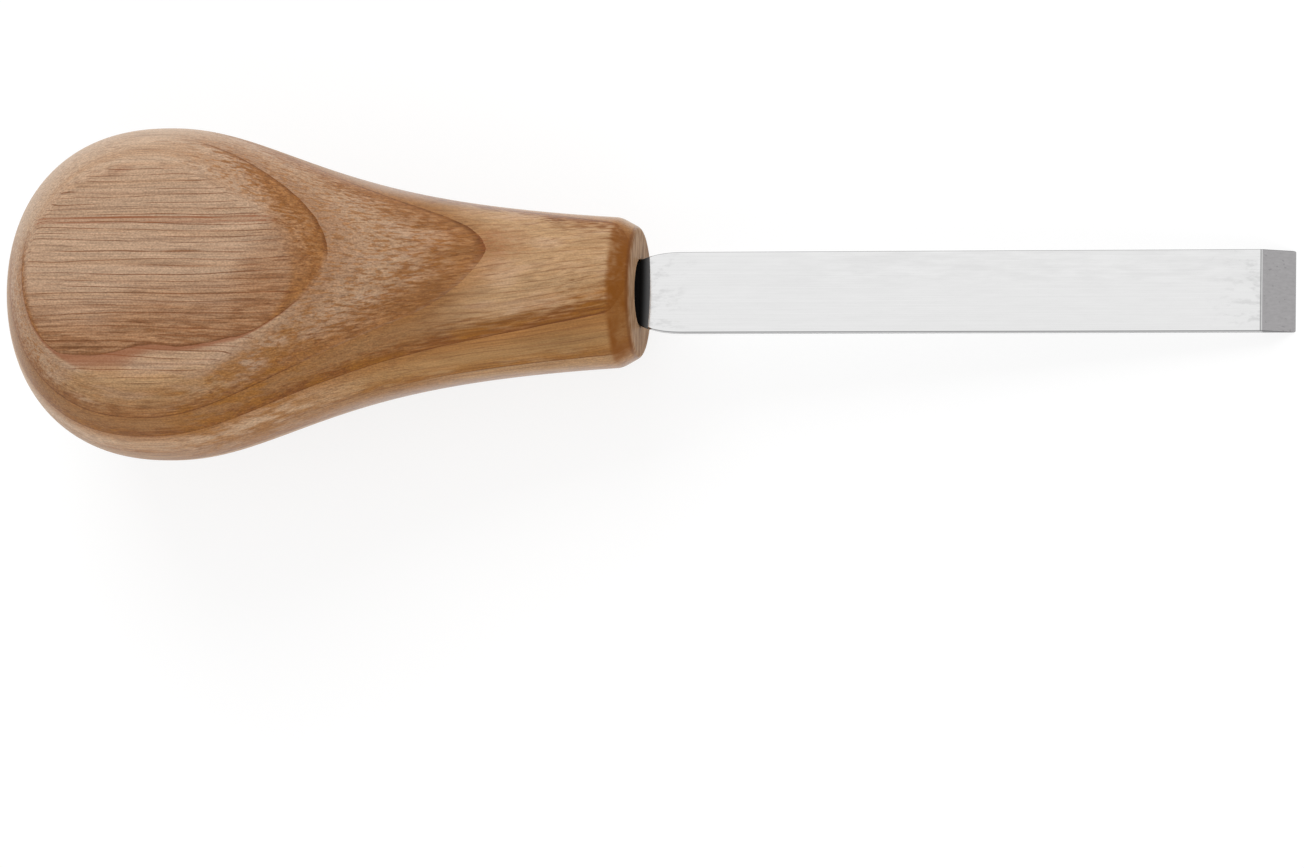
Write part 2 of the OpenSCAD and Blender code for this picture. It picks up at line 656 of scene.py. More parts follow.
@dataclass(frozen=True)
class HandleParts:
    """Where the parts of the handle start to count and where they count fully, in mm.

    A comment says over which axis its group counts: the height, along the tool, across it, or the
    distance from the middle plane.
    """

    # Heights: the flat's rim, just inside it, the neck's upper side and the smear on the neck
    flat: Fade = (14.6, 15.9)
    flat_middle: Fade = (15.7, 15.95)
    neck_top: Fade = (3.0, 6.0)
    blush_top: Fade = (4.0, 7.0)
    # Along: the neck, the bulb, the arches and the butt
    neck: Fade = (-34.0, -22.0)
    tan_neck: Fade = (-14.0, -28.0)
    bulb: Fade = (-30.0, -46.0)
    calm_rear: Fade = (-48.0, -60.0)
    lee: Fade = (-42.0, -38.0)
    arch_tip: Fade = (-50.0, -42.0)
    butt: Fade = (-56.0, -68.0)
    # Along: the flat's lower rim, the wide end of its stained wedge, and the smear on the neck
    rim_front: Fade = (-34.0, -44.0)
    rim_rear: Fade = (-60.0, -53.0)
    stain_rear: Fade = (-57.0, -63.0)
    blush_front: Fade = (-10.0, -16.0)
    blush_rear: Fade = (-19.5, -17.5)
    # Along: the chamfer's rear rim, its soaked ring, the front rim and the front face
    chamfer: Fade = (-3.2, -2.4)
    soaked: Fade = (-3.0, -2.2)
    soaked_front: Fade = (0.02, -0.12)
    brim: Fade = (-0.62, -0.36)
    brim_front: Fade = (-0.12, -0.24)
    face: Fade = (-0.3, -0.05)
    # Across: pale, soft, golden and broad-ringed sides, the painted shade on the -y side, the far arch, the
    # honey band and the rim
    calm_side: Fade = (1.0, 8.0)
    lee_side: Fade = (4.2, 1.2)
    golden_side: Fade = (-10.0, -13.0)
    low_side: Fade = (0.0, -9.0)
    shaded_underside: Fade = (-10.0, -14.0)
    high_side: Fade = (1.0, 6.0)
    band_side: Fade = (2.0, -1.0)
    rim_side: Fade = (-0.5, -3.5)
    # Distance from the middle plane: the threads, and where the chamfer's soak fades towards its silhouettes
    # as a painted rim highlight
    threads: Fade = (15.3, 15.9)
    soak_highlight_fade: Fade = (2.8, 5.0)


class AshSpot:
    """What the wood's nodes know about the shaded point: its place, its layer and its part."""

    def __init__(self, work: NodeWork, timber: Timber, parts: HandleParts, pose: ToolPose) -> None:
        """Reads the place and the growth layer there, and marks the parts of the handle from 0 to 1.

        Args:
            work: The material's nodes.
            timber: The log that the handle was cut from.
            parts: Where the parts of the handle are.
            pose: Where the tool's frame lies.
        """
        self.work, self.parts = work, parts
        self.place = work.tool_place(pose)
        self.along, self.across, self.height = work.axes(self.place)
        self.fibre = timber.fibre_place(work, self.place)
        self.phase = timber.layer_phase(work, timber.ring_radius(work, self.place))
        self.rung = work.math("FRACT", self.phase)
        self.rest = 1.0 - self.rung
        self.layer = timber.layer_traits(work, self.phase, ("brown", "line", "tan", "fade"))
        self.layer |= timber.layer_traits(work, self.phase, ("close", "rosy", "closing"))
        self.rosy = self.layer["rosy"]

        self.on_flat = self.height.step(*parts.flat)
        self.off_flat = 1.0 - self.on_flat
        self.on_neck = self.along.step(*parts.neck) * self.height.step(*parts.neck_top)
        self.rearward = self.along.step(*parts.bulb)
        self.quiet = self.across.step(*parts.calm_side) * self.along.step(*parts.calm_rear)
        self.loud = 1.0 - self.quiet * 0.9
        self.lee = self.across.step(*parts.lee_side) * self.rosy * self.along.step(*parts.lee)
        self.golden = (1.0 - self.rosy).at_least(self.across.step(*parts.golden_side))
        self.dull = self.along.step(*parts.tan_neck) * self.rosy.step(0.4, 0.0) * 0.9
        self.cut_face = self.along.step(*parts.face)

        self.patch = self.streaks(11, 2.6)
        self.flecks = self.streaks(3.2, 0.4)
        self.grain = self.streaks(8, 0.2, 3)

    def streaks(self, length: float, width: float, detail: float = 2.0) -> Value:
        """Noise with patches of that length and width, in mm, along the fibres."""
        return self.work.noise(self.fibre, Patch(length, width, detail))

    def marks(self, marks: Marks) -> Value:
        """How strongly marks along the fibres show."""
        return marks.at(self.work, self.fibre)


@dataclass(frozen=True)
class AshFinish:
    """Oiled ash: pale dense wood, brown early wood, dark lines, pores, stains and a soaked chamfer."""

    timber: Timber = Timber()
    parts: HandleParts = HandleParts()
    golden: Rgb = srgb(188, 151, 112)
    rosy: Rgb = srgb(186, 154, 127)
    pale: Rgb = srgb(190, 163, 137)
    tan: Rgb = srgb(168, 126, 78)
    dusty: Rgb = srgb(196, 162, 130)
    umber: Rgb = srgb(151, 107, 65)
    dusky: Rgb = srgb(156, 118, 90)
    brown: Rgb = srgb(158, 104, 52)
    deep: Rgb = srgb(122, 72, 30)
    honey: Rgb = srgb(152, 98, 34)
    line: Rgb = srgb(98, 53, 24)
    pore: Rgb = srgb(116, 68, 38)
    thread: Rgb = srgb(122, 76, 46)
    rust: Rgb = srgb(142, 82, 50)
    soaked: Rgb = srgb(130, 76, 22)
    face: Rgb = srgb(138, 102, 72)
    pale_face: Rgb = srgb(180, 146, 116)
    sheen: Rgb = srgb(255, 226, 190)
    # Layers in from the pith to the arch at the bulb's far side
    high_arch: float = 7.4
    # Place across of the reddish pair of lines on the flat, and half the gap between the two
    pair_y: float = 6.6
    pair_gap: float = 0.3
    # Place across of the smear on the neck
    blush_y: float = 4.6
    # Width of a layer's dark line, as a share of the layer, which falls on the flat
    line_width: Slope = Slope(0.058, -0.046)
    # Threads per mm, how unevenly they stand over long and short stretches, and how sharp they are
    thread_count: float = 1.15
    thread_spread: float = 2.4
    thread_waver: float = 0.35
    thread_edge: Fade = (0.1, 0.02)
    # Marks along the fibres, and the patches of the end grain
    long_streaks: Marks = Marks(Patch(70, 1, 3), (0.46, 0.66), 0.2)
    honey_blots: Marks = Marks(Patch(5, 1.4), (0.4, 0.62))
    thread_runs: Marks = Marks(Patch(11, 0.8, 1), (0.36, 0.5), 0.8)
    vessels: Marks = Marks(Patch(40, 0.38, 0), (0.6, 0.7), 0.22)
    dashes: Marks = Marks(Patch(4, 0.26, 1), (0.58, 0.7))
    end_grain: Marks = Marks(Patch(1.0, 3.5, depth=0.7), (0.4, 0.62))
    # Where in their noises the rosy patches, the deep flecks and the brown flecks show
    rosy_patches: Fade = (0.5, 0.66)
    deep_flecks: Fade = (0.42, 0.6)
    brown_flecks: Fade = (0.5, 0.6)
    # How the noises make the wood darker and lighter
    grain_tone: Tone = (0.3, 0.7, 0.78, 1.2)
    patch_tone: Tone = (0.34, 0.66, 0.88, 1.1)
    mottle: Patch = Patch(0.28, 0.18, 1)
    mottle_tone: Tone = (0.3, 0.7, 0.8, 1.18)
    soak: Patch = Patch(2.2, 2.6)
    soak_tone: Tone = (0.36, 0.6, 0.55, 1.0)
    # How strongly a second colour shows
    # Painted shade: how strongly the -y side off the flat turns umber
    underside_shade_share: float = 0.38
    rosy_share: float = 0.55
    flat_share: float = 0.4
    honey_share: float = 0.7
    calm_share: float = 0.55
    arch_share: float = 0.28
    pair_share: float = 0.65
    haze_share: float = 0.22
    wedge_share: float = 0.7
    blush_share: float = 0.4
    brim_share: float = 0.4
    face_share: float = 0.75
    # Roughness of the wood, and what the front face and the pores add
    roughness: float = 0.5
    face_roughness: float = 0.35
    pore_roughness: float = 0.2
    specular: float = 0.1
    # The coat of oil: its weight, and what it gains where it is seen aslant, less so on the bulb
    coat: float = 0.07
    aslant: Fade = (0.54, 0.76)
    aslant_coat: Slope = Slope(0.6, -0.4)
    coat_roughness: float = 0.2
    sheen_weight: float = 0.3
    sheen_roughness: float = 0.22
    pore_depth: float = 0.02

    def dense_wood(self, spot: AshSpot) -> Value:
        """The wood between the rings: golden or rosy, tan in some layers, darker again at a layer's end, and
        with painted shade on the -y side.

        Args:
            spot: The shaded point.

        Returns:
            The colour.
        """
        mix, layer = spot.work.mix, spot.layer
        # Painted shade: umber on the -y side off the flat, the side that faces away from the key lamp
        under = spot.across.step(*spot.parts.shaded_underside) * spot.off_flat * self.underside_shade_share
        hue = spot.golden - spot.patch.step(*self.rosy_patches) * self.rosy_share
        dense = mix(hue, self.rosy, mix(under, self.golden, self.umber))
        tan = mix(layer["tan"].step(0.2, 0.8), self.umber, mix(spot.rearward, self.tan, self.dusty))
        wood = mix(layer["tan"].at_least(spot.dull), dense, tan)
        wood = mix(spot.marks(self.long_streaks), wood, self.brown)
        late = (spot.rest / layer["closing"]).step(1.0, 0.0) * layer["close"] * spot.off_flat * spot.loud
        return mix(late, wood, mix(spot.golden, self.dusky, self.brown))

    def early_share(self, spot: AshSpot) -> Value:
        """How much of the brown early wood shows: all at the start of a layer, and less and less further in.

        Its end is frayed by flecks and patches, and it reaches further low on the handle and at the tip
        of the second arch.

        Args:
            spot: The shaded point.

        Returns:
            The share, from 0 to 1.
        """
        parts = spot.parts
        frayed = spot.rung + (spot.patch - 0.5) * (spot.off_flat * 0.4 + 0.15)
        frayed = frayed + (0.5 - spot.flecks) * spot.off_flat * 0.8
        golden = 1.0 - spot.rosy
        low = spot.across.step(*parts.low_side) * spot.off_flat * (0.8 - golden * 0.35)
        tip = spot.along.step(*parts.arch_tip) * spot.rosy**3.0 * 1.8
        early = (frayed / (spot.layer["fade"] * (low + tip + 1.0))).step(1.0, 0.1)
        soft = 1.0 - spot.lee * spot.rung.step(0.06, 0.0) * 0.42
        rear = 1.0 - golden * spot.along.step(*parts.butt) * 0.45
        return early * spot.layer["brown"] * spot.loud * soft * rear

    def early_wood(self, spot: AshSpot, wood: Value, early: Value) -> Value:
        """Lays the brown early wood over the dense wood, with deep brown flecks and honey-coloured blotches.

        Args:
            spot: The shaded point.
            wood: The colour so far.
            early: How much of the early wood shows.

        Returns:
            The colour.
        """
        mix, parts = spot.work.mix, spot.parts
        speckle = spot.flecks.step(*self.deep_flecks) * (1.0 - spot.golden * 0.4) * (1.0 - spot.on_flat * 0.4)
        speckle = speckle + spot.on_flat * 0.15 + spot.dull * 0.2 + spot.golden * 0.32
        brown = mix(spot.height.step(*parts.flat_middle) * self.flat_share, self.brown, self.rosy)
        wood = mix(early, wood, mix(speckle, brown, self.deep))

        band = spot.rung.step(0.6, 0.1) * spot.rosy.step(0.4, 0.0) * spot.across.step(*parts.band_side)
        rim = spot.along.step(*parts.rim_front) * spot.along.step(*parts.rim_rear)
        rim = rim * spot.across.step(*parts.rim_side)
        blot = spot.marks(self.honey_blots) * spot.off_flat * band.at_least(rim)
        wood = mix(blot * self.honey_share, wood, self.honey)

        wood = mix(spot.quiet * spot.off_flat * self.calm_share, wood, self.pale)
        arch = spot.phase.near(self.high_arch, 0.3, 0.0) * spot.across.step(*parts.high_side)
        return mix(arch * spot.off_flat * self.arch_share, wood, self.brown)

    def layer_lines(self, spot: AshSpot, wood: Value) -> Value:
        """Draws the thin dark line at the start of each layer, finer on the flat and weak on the chamfer.

        Args:
            spot: The shaded point.
            wood: The colour so far.

        Returns:
            The colour.
        """
        line = (spot.rung / self.line_width.at(spot.on_flat)).step(1.0, 0.0)
        line = line * (1.0 - spot.along.step(*spot.parts.chamfer) * 0.8)
        line = line * (1.0 - spot.dull * 0.45) * (1.0 - spot.lee * 0.85)
        return spot.work.mix(line * spot.layer["line"] * spot.loud, wood, self.line)

    def thread_share(self, spot: AshSpot) -> Value:
        """Long thin lines of opened vessels, unevenly spaced, that come and go along the fibres.

        Args:
            spot: The shaded point.

        Returns:
            How dark a thread is at the shaded point, from 0 to 1.
        """
        count = spot.work.axes(spot.fibre)[1] * self.thread_count
        count = count + (spot.streaks(50, 2.4, 1) - 0.5) * self.thread_spread
        count = count + spot.streaks(6, 1.6, 1) * self.thread_waver
        thread = spot.work.math("FRACT", count).near(0.5, *self.thread_edge)
        shown = spot.marks(self.thread_runs)
        where = spot.on_neck * 0.5 + abs(spot.height).step(*spot.parts.threads)
        return thread * shown * where

    def flecks(self, spot: AshSpot, wood: Value) -> Value:
        """Adds short brown flecks off the flat, and threads on the flat and the neck.

        Args:
            spot: The shaded point.
            wood: The colour so far.

        Returns:
            The colour.
        """
        share = spot.off_flat * spot.loud * (0.62 - spot.golden * 0.52)
        wood = spot.work.mix(spot.flecks.step(*self.brown_flecks) * share, wood, self.brown)
        return spot.work.mix(self.thread_share(spot), wood, self.thread)

    def open_pores(self, spot: AshSpot, early: Value) -> Value:
        """How open the wood is at the shaded point: long vessels, and dashes that crowd in the early wood.

        Args:
            spot: The shaded point.
            early: How much of the early wood shows.

        Returns:
            The share, from 0 to 1.
        """
        dashes = spot.marks(self.dashes) * (early * 0.36 + 0.24)
        return spot.marks(self.vessels).at_least(dashes)

    def shading(self, spot: AshSpot, wood: Value) -> Value:
        """Makes the wood lighter and darker by its grain, its patches and a fine mottle.

        Args:
            spot: The shaded point.
            wood: The colour so far.

        Returns:
            The colour.
        """
        shade = spot.work.shade
        wood = shade(wood, spot.grain.levels(*self.grain_tone), 1.0 - spot.on_neck * 0.3)
        wood = shade(wood, spot.patch.levels(*self.patch_tone), spot.on_neck)
        mottle = spot.work.noise(spot.place, self.mottle)
        return shade(wood, mottle.levels(*self.mottle_tone), 1.0 - spot.on_neck * 0.5)

    def stains(self, spot: AshSpot, wood: Value) -> Value:
        """Adds rust-coloured marks: a pair of lines and a wedge on the flat, and a smear on the neck.

        Args:
            spot: The shaded point.
            wood: The colour so far.

        Returns:
            The colour.
        """
        mix, parts = spot.work.mix, spot.parts
        off_pair = abs(spot.work.axes(spot.fibre)[1] - self.pair_y)
        trace = off_pair.near(self.pair_gap, 0.2, 0.06) * self.pair_share
        trace = trace + off_pair.step(0.6, 0.3) * self.haze_share
        trace = trace * spot.on_flat * (spot.grain.step(0.4, 0.6) * 0.7 + 0.3)
        wood = mix(trace, wood, self.rust)

        wedge = (spot.rest / (spot.along.step(*parts.stain_rear) * 0.06 + 0.02)).step(1.0, 0.2)
        wood = mix(wedge * spot.on_flat * self.wedge_share, wood, self.rust)

        blush = spot.along.step(*parts.blush_rear) * spot.along.step(*parts.blush_front)
        blush = blush * spot.across.near(self.blush_y, 3.2, 0.6) * spot.height.step(*parts.blush_top)
        return mix(blush * spot.grain.step(0.36, 0.6) * self.blush_share, wood, self.rust)

    def front_end(self, spot: AshSpot, wood: Value) -> Value:
        """Darkens the chamfer, where it soaked up oil, less so towards its ±y sides as a painted rim
        highlight, and lays the end grain on the front face.

        Args:
            spot: The shaded point.
            wood: The colour so far.

        Returns:
            The colour.
        """
        mix, parts = spot.work.mix, spot.parts
        ring = spot.along.step(*parts.soaked) * spot.along.step(*parts.soaked_front)
        blotch = spot.work.noise(spot.place, self.soak) - spot.across * 0.012
        # Painted highlight: the soak fades near the middle plane, where the chamfer turns to the silhouettes,
        # so pale wood shows as a rim highlight
        side = (abs(spot.height) - spot.across * 0.17).step(*parts.soak_highlight_fade) * 0.85 + 0.15
        wood = mix(ring * blotch.levels(*self.soak_tone) * side, wood, self.soaked)
        brim = spot.along.step(*parts.brim) * spot.along.step(*parts.brim_front)
        wood = mix(brim * self.brim_share, wood, self.line)
        ends = self.end_grain.at(spot.work, spot.place)
        return mix(spot.cut_face * self.face_share, wood, mix(ends, self.face, self.pale_face))

    def build(self, pose: ToolPose) -> bpy.types.Material:
        """Makes the material.

        Args:
            pose: Where the tool's frame lies.

        Returns:
            The finished material.
        """
        work = NodeWork("oiled_ash")
        spot = AshSpot(work, self.timber, self.parts, pose)
        early = self.early_share(spot)
        wood = self.early_wood(spot, self.dense_wood(spot), early)
        wood = self.flecks(spot, self.layer_lines(spot, wood))
        pores = self.open_pores(spot, early)
        wood = self.shading(spot, work.mix(pores, wood, self.pore))
        wood = self.front_end(spot, self.stains(spot, wood))

        facing = Value(work, work.node("LayerWeight", {"Blend": 0.5}).outputs["Facing"])
        gloss = facing.step(*self.aslant) * self.aslant_coat.at(spot.rearward) + self.coat
        rough = spot.cut_face * self.face_roughness + pores * self.pore_roughness + self.roughness
        surface = {
            "Base Color": wood,
            "Roughness": rough,
            "Specular IOR Level": self.specular,
            "Coat Weight": gloss * (1.0 - spot.cut_face * 0.8),
            "Coat Roughness": self.coat_roughness,
            "Sheen Weight": self.sheen_weight,
            "Sheen Roughness": self.sheen_roughness,
            "Sheen Tint": self.sheen,
        }
        return work.finish(surface, spot.grain * 0.5 - pores, self.pore_depth)


@dataclass(frozen=True)
class SteelFinish:
    """Tool steel: finely polished faces with faint lengthwise lines, and a matt bevel whose darker colour is
    partly painted shade.

    Attributes:
        bevel_start: Where the bevel starts, in mm.
        half_width: Half the blade's width, in mm.
        root_half: Half its width where it leaves the handle, in mm.
        shoulder_length: Length of its shoulders, in mm.
        shoulder_power: How quickly they swell.
        root_shade_reach: How far the painted shade and reflection of the bore reach onto the blade's root, in
            mm.
    """

    bevel_start: float
    half_width: float
    root_half: float
    shoulder_length: float
    shoulder_power: float
    root_shade_reach: float = 1.22
    polished: Rgb = srgb(232, 232, 232)
    # Dark grey of smudges and pits, also used for the painted dark reflection along the blade's sides
    shaded_ground: Rgb = srgb(166, 164, 165)
    # Matt bevel steel, darkened partly as painted shade for the dimmer light that its slope reflects
    rim: Rgb = srgb(96, 96, 98)
    # Painted dark reflection and painted glint on the narrow facet at the start of the bevel
    arris_painted_reflection: Rgb = srgb(128, 127, 127)
    arris_painted_glint: Rgb = srgb(205, 205, 205)
    # Painted shade and reflection of the bore at the blade's root: black by the handle, grey about 1.2 mm out
    painted_root_shade: Rgb = (0.012, 0.011, 0.011)
    painted_root_shade_grey: Rgb = srgb(104, 104, 105)
    lines: Patch = Patch(30, 0.1, 3)
    line_tone: Tone = (0.25, 0.75, 0.965, 1.02)
    clouds: Patch = Patch(4, 0.7, 4)
    cloud_tone: Tone = (0.35, 0.65, 0.95, 1.02)
    smudges: Patch = Patch(1.6, 0.7, 4)
    smudge_share: float = 0.16
    strokes: Patch = Patch(2.6, 0.26, 3)
    stroke_tone: Tone = (0.3, 0.7, 0.92, 1.05)
    pits: Marks = Marks(Patch(0.4, 0.3, 0), (0.74, 0.82), 0.3)
    # Roughness of the root, and what the rest of the blade, the bevel, the smudges and the painted root shade
    # add
    roughness: float = 0.06
    blade_roughness: float = 0.06
    bevel_roughness: float = 0.26
    smudge_roughness: float = 0.04
    root_shade_roughness: float = 0.5
    scratches: Patch = Patch(4, 0.06)
    scratch_depth: float = 0.0003

    def polished_face(self, work: NodeWork, place: Value, smudge: Value) -> Value:
        """The polished steel, with faint lines, clouds, and smudges near the handle and the bevel.

        Args:
            work: The material's nodes.
            place: The place in the tool's frame, in mm.
            smudge: Noise for the smudges.

        Returns:
            The colour.
        """
        along, across, _ = work.axes(place)
        lines = work.noise(place, self.lines).levels(*self.line_tone)
        clouds = work.noise(place, self.clouds).levels(*self.cloud_tone)
        cloudy = across.step(-0.5, 2.5) * along.step(12.0, 30.0)
        steel = work.shade(work.shade(self.polished, lines), clouds, cloudy * 0.65 + 0.35)
        handled = along.step(9.0, 0.5).at_least(along.step(self.bevel_start - 9.0, self.bevel_start))
        return work.mix(handled * smudge.step(0.5, 0.7) * self.smudge_share, steel, self.rim)

    def shaded_bevel(self, work: NodeWork, place: Value) -> Value:
        """The matt bevel, darker partly as painted shade, with fine strokes and a few pits.

        Args:
            work: The material's nodes.
            place: The place in the tool's frame, in mm.

        Returns:
            The colour.
        """
        strokes = work.noise(place, self.strokes).levels(*self.stroke_tone)
        return work.mix(self.pits.at(work, place), work.shade(self.shaded_ground, strokes), self.rim)

    def edge_lines(self, work: NodeWork, place: Value, steel: Value) -> Value:
        """Draws painted reflections: a dark line and a light glint at the start of the bevel, and a dark line
        along the sides.

        Args:
            work: The material's nodes.
            place: The place in the tool's frame, in mm.
            steel: The colour so far.

        Returns:
            The colour.
        """
        along, across, _ = work.axes(place)
        past_arris = along - self.bevel_start
        # Painted reflection: a dark line on the narrow facet, and a painted glint at the bevel's edge
        steel = work.mix(past_arris.near(-0.16, 0.12, 0.04) * 0.75, steel, self.arris_painted_reflection)
        steel = work.mix(past_arris.near(-0.02, 0.09, 0.03) * 0.7, steel, self.arris_painted_glint)
        # Painted reflection: a dark line along the blade's sides, which face the horizon
        shoulder = (1.0 - along / self.shoulder_length).at_least(0.0) ** self.shoulder_power
        beside = abs(across) + shoulder * (self.half_width - self.root_half)
        side = beside.step(self.half_width - 0.09, self.half_width - 0.03)
        return work.mix(side * 0.85, steel, self.rim)

    def build(self, pose: ToolPose) -> bpy.types.Material:
        """Makes the material.

        Args:
            pose: Where the tool's frame lies.

        Returns:
            The finished material.
        """
        work = NodeWork("polished_tool_steel")
        place = work.tool_place(pose)
        along, across, _ = work.axes(place)
        smudge = work.noise(place, self.smudges)
        bevel = along.step(self.bevel_start - 0.05, self.bevel_start + 0.05)
        steel = work.mix(bevel, self.polished_face(work, place, smudge), self.shaded_bevel(work, place))
        steel = self.edge_lines(work, place, steel)
        # Painted shade and reflection at the root: a dull, non-metal black-to-grey patch that darkens the
        # steel next to the handle
        painted_root_shade = (across * across * 0.008 + along).step(self.root_shade_reach + 0.04, self.root_shade_reach - 0.04)
        steel = work.mix(painted_root_shade, steel, work.mix(along.step(0.1, 1.15), self.painted_root_shade, self.painted_root_shade_grey))
        rough = bevel * self.bevel_roughness + along.step(2.0, 8.0) * self.blade_roughness
        rough = rough + smudge * self.smudge_roughness + painted_root_shade * self.root_shade_roughness + self.roughness
        surface = {
            "Base Color": steel,
            "Metallic": 1.0 - painted_root_shade,
            "Roughness": rough,
            "Specular IOR Level": 0.0,
        }
        return work.finish(surface, work.noise(place, self.scratches), self.scratch_depth)


@dataclass(frozen=True)
class EpoxyFinish:
    """Cured black epoxy: dull black, with a faint ripple."""

    black: Rgb = (0.008, 0.007, 0.007)
    dusty: Rgb = (0.02, 0.019, 0.019)
    roughness: float = 0.7
    dust: Marks = Marks(Patch(0.25, 0.25, 3), (0.6, 0.8))
    ripple: Patch = Patch(0.9, 0.9)
    ripple_depth: float = 0.05

    def build(self, pose: ToolPose) -> bpy.types.Material:
        """Makes the material.

        Args:
            pose: Where the tool's frame lies.

        Returns:
            The finished material.
        """
        work = NodeWork("black_epoxy")
        place = work.tool_place(pose)
        dust = self.dust.at(work, place)
        surface = {
            "Base Color": work.mix(dust, self.black, self.dusty),
            "Roughness": self.roughness,
            "Specular IOR Level": 0.0,
        }
        return work.finish(surface, work.noise(place, self.ripple), self.ripple_depth)


@dataclass
class Handle:
    """The pear-shaped handle: a turned body with two flats, a chamfer and a bore. Sizes in mm."""

    length: float = 79.8
    bulb_diameter: float = 41.6
    bulb_back: float = 20.2
    butt_fullness: float = 2.3
    swell_length: float = 25.0
    swell_power: float = 2.1
    neck_diameter: float = 18.3
    chamfer_length: float = 2.4
    chamfer_depth: float = 1.3
    thickness: float = 32.0
    bore_diameter: float = 8.3
    bore_depth: float = 44.0
    drill_angle: float = 118.0
    chamfer_round: float = 2.6
    face_round: float = 0.9
    mouth_round: float = 0.12
    flat_blend: float = 0.45
    inset: float = 0.02
    around: int = 336
    butt_steps: int = 56
    swell_steps: int = 130
    arc_steps: int = 6
    mouth_steps: int = 4
    slope_points: int = 8
    face_points: int = 9
    wall_points: int = 24
    cone_points: int = 5
    crease: float = 50.0

    @property
    def bulb_x(self) -> float:
        """Where the bulb is fattest."""
        return self.bulb_back - self.length

    @property
    def bulb_radius(self) -> float:
        """Radius of the bulb, drawn in a hair so that the mesh stays inside the solid's box."""
        return self.bulb_diameter / 2 - self.inset

    @property
    def face_radius(self) -> float:
        """Radius of the front face, inside the chamfer."""
        return float(self.swell(np.array(-self.chamfer_length))) - self.chamfer_depth

    def swell(self, x: np.ndarray) -> np.ndarray:
        """Radius between the bulb and the neck: a bell that falls to a thinner cylinder far in front.

        Args:
            x: Places along the axis, in mm.

        Returns:
            The radius at each place.
        """
        fall = 1 / (1 + (-self.bulb_x / self.swell_length) ** self.swell_power)
        far = (self.neck_diameter / 2 - self.bulb_radius * fall) / (1 - fall)
        bell = 1 + ((x - self.bulb_x) / self.swell_length) ** self.swell_power
        return far + (self.bulb_radius - far) / bell

    def outline(self) -> np.ndarray:
        """The turned outline, from the middle of the butt over the outside to the bottom of the bore.

        The butt is a quarter superellipse, the swell a bell, and the chamfer, the front face and the
        mouth of the bore meet in arcs. The bore ends in the cone of its drill.

        Returns:
            Points of x and radius, in mm.
        """
        turn = np.linspace(0, np.pi / 2, self.butt_steps + 1)
        power = 2 / self.butt_fullness
        butt = np.stack(
            [
                self.bulb_x - (self.bulb_back - self.inset) * np.cos(turn) ** power,
                self.bulb_radius * np.sin(turn) ** power,
            ],
            -1,
        )
        chamfer_x = -self.chamfer_length
        x = np.linspace(self.bulb_x, chamfer_x - self.chamfer_round, self.swell_steps + 1)[1:]
        swell = np.stack([x, self.swell(x)], -1)
        rim = np.array([-self.inset, self.face_radius])
        neck = np.array([chamfer_x, self.face_radius + self.chamfer_depth])
        bore = self.bore_diameter / 2
        mouth = np.array([-self.inset, bore])
        floor = np.array([-self.bore_depth, bore])
        point = np.array([-self.bore_depth - bore / math.tan(math.radians(self.drill_angle / 2)), 0.0])
        wall = np.linspace(mouth, floor, self.wall_points)[1:-1]
        face = np.linspace(rim, mouth, self.face_points)[2:-1]
        slope = np.linspace(neck, rim, self.slope_points)[3:-2]
        return np.vstack(
            [
                butt,
                swell[:-1],
                arc_corner(swell[-2], neck, rim, self.chamfer_round, self.arc_steps),
                slope,
                arc_corner(neck, rim, mouth, self.face_round, self.arc_steps),
                face,
                arc_corner(rim, mouth, floor, self.mouth_round, self.mouth_steps),
                wall,
                floor,
                np.linspace(floor, point, self.cone_points)[1:],
            ]
        )

    def soften_flat(self, z: np.ndarray) -> np.ndarray:
        """Cuts the heights off at the flats, with a small round where a flat meets the bulb.

        The cut is a smooth minimum of the height and the flat's height: a parabola joins the two over
        the blend on either side.

        Args:
            z: Heights over the axis, in mm.

        Returns:
            The cut heights.
        """
        limit = self.thickness / 2 - self.inset
        height = np.abs(z)
        share = np.clip(0.5 + 0.5 * (height - limit) / self.flat_blend, 0, 1)
        cut = height * (1 - share) + limit * share - self.flat_blend * share * (1 - share)
        return np.sign(z) * np.where(share > 0, cut, height)

    def build(self, pose: ToolPose, material: bpy.types.Material) -> bpy.types.Object:
        """Makes the piece. The outline turns round the axis, and the flats then cut its heights.

        Args:
            pose: Where the tool's frame lies.
            material: Its finish.

        Returns:
            The finished piece.
        """
        profile = self.outline()[1:-1]
        turn = np.linspace(0, 2 * np.pi, self.around, endpoint=False)
        x = np.repeat(profile[:, :1], self.around, 1)
        y = profile[:, 1:] * np.cos(turn)
        z = self.soften_flat(profile[:, 1:] * np.sin(turn))
        piece = surface_object("pear_handle", np.stack([x, y, z], -1), pose, self.crease)
        piece.data.materials.append(material)
        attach(piece, Body.ROOT.value)
        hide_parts("handle")
        return piece


